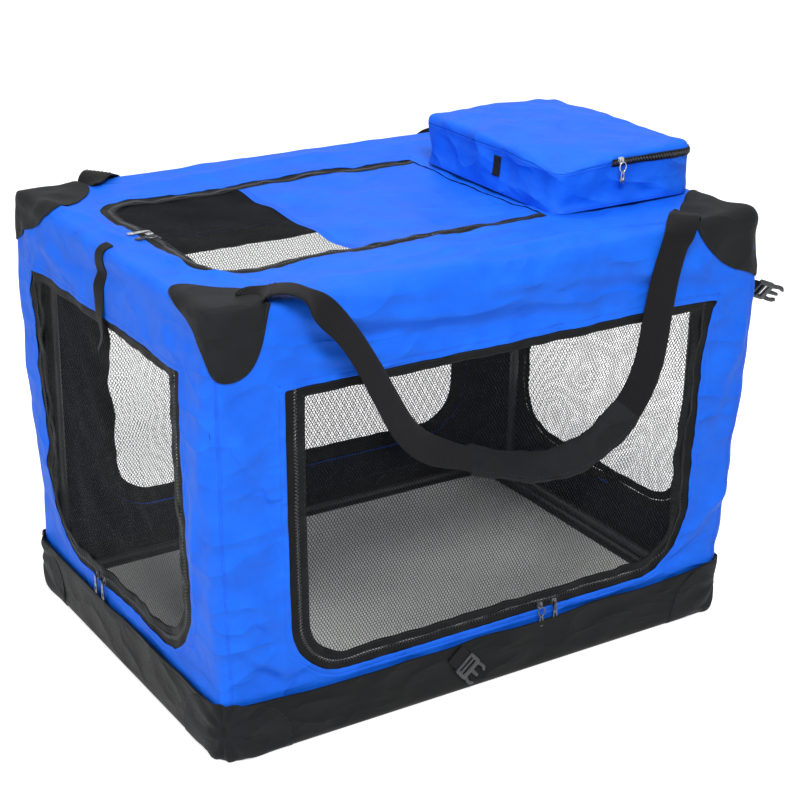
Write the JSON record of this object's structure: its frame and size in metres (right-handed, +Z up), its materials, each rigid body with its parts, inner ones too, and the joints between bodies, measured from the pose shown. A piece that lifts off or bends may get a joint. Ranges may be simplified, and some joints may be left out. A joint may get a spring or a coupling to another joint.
{
  "type": "soft-sided cat carrier",
  "caption": "Folding soft-sided pet carrier: cloth box on a tube frame, with mesh doors, a top pocket and carrying handles.",
  "frame": {"origin": "centre of the base tray's underside, on the floor", "axes": "+X along the long side to the right, +Y to the back, +Z up"},
  "size_m": [0.759, 0.563, 0.5803],
  "materials": {
    "black_cloth": "matte",
    "black_mesh": "matte",
    "black_plastic": "matte",
    "black_webbing": "matte",
    "blue_cloth": "satin",
    "board": "matte",
    "grey_fleece": "matte",
    "steel_tube": "satin",
    "zip_metal": "satin"
  },
  "bodies": {
    "crate": {"base_tray": "black_cloth", "floor_board": "board", "floor_mat": "grey_fleece", "base_frame": "steel_tube", "top_frame": "steel_tube", "frame_hinge_front_left": "black_plastic", "frame_hinge_back_left": "black_plastic", "frame_hinge_front_right": "black_plastic", "frame_hinge_back_right": "black_plastic", "front_wall": "blue_cloth", "back_wall": "blue_cloth", "left_wall": "blue_cloth", "right_wall": "blue_cloth", "top_panel": "blue_cloth", "top_corner_patch_front_left": "black_cloth", "top_corner_patch_front_right": "black_cloth", "top_corner_patch_back_left": "black_cloth", "top_corner_patch_back_right": "black_cloth", "front_zip_tape": "black_webbing", "left_zip_tape": "black_webbing", "right_zip_tape": "black_webbing", "top_zip_tape": "black_webbing", "back_window_mesh": "black_mesh", "pocket_body": "blue_cloth"},
    "front_door": {"front_door_binding": "black_webbing", "front_door_mesh": "black_mesh"},
    "left_door": {"left_door_binding": "black_webbing", "left_door_mesh": "black_mesh"},
    "right_door": {"right_door_binding": "black_webbing", "right_door_mesh": "black_mesh"},
    "top_door": {"top_door_cloth": "blue_cloth", "top_door_mesh": "black_mesh"},
    "pocket_flap": {"pocket_flap": "blue_cloth"},
    "front_handle": {"front_handle_strap": "black_webbing", "front_handle_grip": "black_cloth"},
    "back_handle": {"back_handle_strap": "black_webbing", "back_handle_grip": "black_cloth"},
    "left_end_frame": {"left_end_frame": "steel_tube"},
    "right_end_frame": {"right_end_frame": "steel_tube"},
    "left_tie_strap": {"left_tie_strap": "black_webbing"},
    "right_tie_strap": {"right_tie_strap": "black_webbing"},
    "front_buckle": {"front_buckle_strap": "black_webbing", "front_buckle": "black_plastic"},
    "right_buckle": {"right_buckle_strap": "black_webbing", "right_buckle": "black_plastic"},
    "front_door_a_slider": {"front_door_a_slider": "zip_metal"},
    "front_door_a_pull": {"front_door_a_pull": "zip_metal"},
    "front_door_b_slider": {"front_door_b_slider": "zip_metal"},
    "front_door_b_pull": {"front_door_b_pull": "zip_metal"},
    "left_door_a_slider": {"left_door_a_slider": "zip_metal"},
    "left_door_a_pull": {"left_door_a_pull": "zip_metal"},
    "left_door_b_slider": {"left_door_b_slider": "zip_metal"},
    "left_door_b_pull": {"left_door_b_pull": "zip_metal"},
    "top_door_a_slider": {"top_door_a_slider": "zip_metal"},
    "top_door_a_pull": {"top_door_a_pull": "zip_metal"},
    "top_door_b_slider": {"top_door_b_slider": "zip_metal"},
    "top_door_b_pull": {"top_door_b_pull": "zip_metal"},
    "pocket_slider": {"pocket_slider": "zip_metal"},
    "pocket_pull": {"pocket_pull": "zip_metal"},
    "right_door_slider": {"right_door_slider": "zip_metal"}
  },
  "joints": [
    {"name": "front_door_swing", "type": "hinge", "parent": "crate", "child": "front_door", "pos_m": [0, -0.2485, 0.4205], "axis": [1, 0, 0], "range_deg": [0, 80]},
    {"name": "left_door_swing", "type": "hinge", "parent": "crate", "child": "left_door", "pos_m": [-0.3485, 0, 0.4385], "axis": [0, 1, 0], "range_deg": [0, 100]},
    {"name": "right_door_swing", "type": "hinge", "parent": "crate", "child": "right_door", "pos_m": [0.3485, 0, 0.4385], "axis": [0, -1, 0], "range_deg": [0, 100]},
    {"name": "top_door_lift", "type": "hinge", "parent": "crate", "child": "top_door", "pos_m": [0.1265, 0, 0.5185], "axis": [0, 1, 0], "range_deg": [0, 95]},
    {"name": "pocket_flap_lift", "type": "hinge", "parent": "crate", "child": "pocket_flap", "pos_m": [0.215, 0, 0.5788], "axis": [0, -1, 0], "range_deg": [0, 100]},
    {"name": "front_handle_lift", "type": "hinge", "parent": "crate", "child": "front_handle", "pos_m": [0, -0.2533, 0.5135], "axis": [-1, 0, 0], "range_deg": [0, 165]},
    {"name": "back_handle_lift", "type": "hinge", "parent": "crate", "child": "back_handle", "pos_m": [0, 0.2533, 0.5135], "axis": [1, 0, 0], "range_deg": [0, 165]},
    {"name": "left_end_frame_fold", "type": "hinge", "parent": "crate", "child": "left_end_frame", "pos_m": [-0.33645, 0, 0.48645], "axis": [0, -1, 0], "range_deg": [0, 89]},
    {"name": "right_end_frame_fold", "type": "hinge", "parent": "crate", "child": "right_end_frame", "pos_m": [0.33645, 0, 0.48645], "axis": [0, 1, 0], "range_deg": [0, 83]},
    {"name": "left_tie_swing", "type": "hinge", "parent": "crate", "child": "left_tie_strap", "pos_m": [-0.3518, -0.03, 0.514], "axis": [0, 1, 0], "range_deg": [0, 100]},
    {"name": "right_tie_swing", "type": "hinge", "parent": "crate", "child": "right_tie_strap", "pos_m": [0.3518, -0.03, 0.514], "axis": [0, -1, 0], "range_deg": [0, 100]},
    {"name": "front_buckle_swing", "type": "hinge", "parent": "crate", "child": "front_buckle", "pos_m": [-0.038, -0.2571, 0.06], "axis": [-1, 0, 0], "range_deg": [0, 90]},
    {"name": "right_buckle_swing", "type": "hinge", "parent": "crate", "child": "right_buckle", "pos_m": [0.3511, -0.218, 0.425], "axis": [0, -1, 0], "range_deg": [0, 60]},
    {"name": "front_door_a_slide", "type": "slide", "parent": "crate", "child": "front_door_a_slider", "axis": [-1, 0, 0], "range_m": [0, 0.25]},
    {"name": "front_door_a_pull_swing", "type": "hinge", "parent": "front_door_a_slider", "child": "front_door_a_pull", "pos_m": [0.069, -0.2549, 0.081], "axis": [-1, 0, 0], "range_deg": [0, 150]},
    {"name": "front_door_b_slide", "type": "slide", "parent": "crate", "child": "front_door_b_slider", "axis": [1, 0, 0], "range_m": [0, 0.125]},
    {"name": "front_door_b_pull_swing", "type": "hinge", "parent": "front_door_b_slider", "child": "front_door_b_pull", "pos_m": [0.089, -0.2549, 0.081], "axis": [-1, 0, 0], "range_deg": [0, 150]},
    {"name": "left_door_a_slide", "type": "slide", "parent": "crate", "child": "left_door_a_slider", "axis": [0, 1, 0], "range_m": [0, 0.03]},
    {"name": "left_door_a_pull_swing", "type": "hinge", "parent": "left_door_a_slider", "child": "left_door_a_pull", "pos_m": [-0.3549, 0.066, 0.09], "axis": [0, 1, 0], "range_deg": [0, 150]},
    {"name": "left_door_b_slide", "type": "slide", "parent": "crate", "child": "left_door_b_slider", "axis": [0, -1, 0], "range_m": [0, 0.14]},
    {"name": "left_door_b_pull_swing", "type": "hinge", "parent": "left_door_b_slider", "child": "left_door_b_pull", "pos_m": [-0.3549, 0.046, 0.09], "axis": [0, 1, 0], "range_deg": [0, 150]},
    {"name": "top_door_a_slide", "type": "slide", "parent": "crate", "child": "top_door_a_slider", "axis": [0, 1, 0], "range_m": [0, 0.08]},
    {"name": "top_door_a_pull_swing", "type": "hinge", "parent": "top_door_a_slider", "child": "top_door_a_pull", "pos_m": [-0.295, 0.01, 0.5249], "axis": [0, 1, 0], "range_deg": [0, 150]},
    {"name": "top_door_b_slide", "type": "slide", "parent": "crate", "child": "top_door_b_slider", "axis": [0, -1, 0], "range_m": [0, 0.08]},
    {"name": "top_door_b_pull_swing", "type": "hinge", "parent": "top_door_b_slider", "child": "top_door_b_pull", "pos_m": [-0.295, -0.01, 0.5249], "axis": [0, 1, 0], "range_deg": [0, 150]},
    {"name": "pocket_slide", "type": "slide", "parent": "crate", "child": "pocket_slider", "axis": [1, 0, 0], "range_m": [0, 0.085]},
    {"name": "pocket_pull_swing", "type": "hinge", "parent": "pocket_slider", "child": "pocket_pull", "pos_m": [0.23, -0.1574, 0.574], "axis": [-1, 0, 0], "range_deg": [0, 150]},
    {"name": "right_door_slide", "type": "slide", "parent": "crate", "child": "right_door_slider", "axis": [0, -1, 0], "range_m": [0, 0.15]}
  ],
  "couplings": [
    {"joint": "left_tie_swing", "follows": "left_door_swing", "ratio": 1},
    {"joint": "right_tie_swing", "follows": "right_door_swing", "ratio": 1}
  ]
}
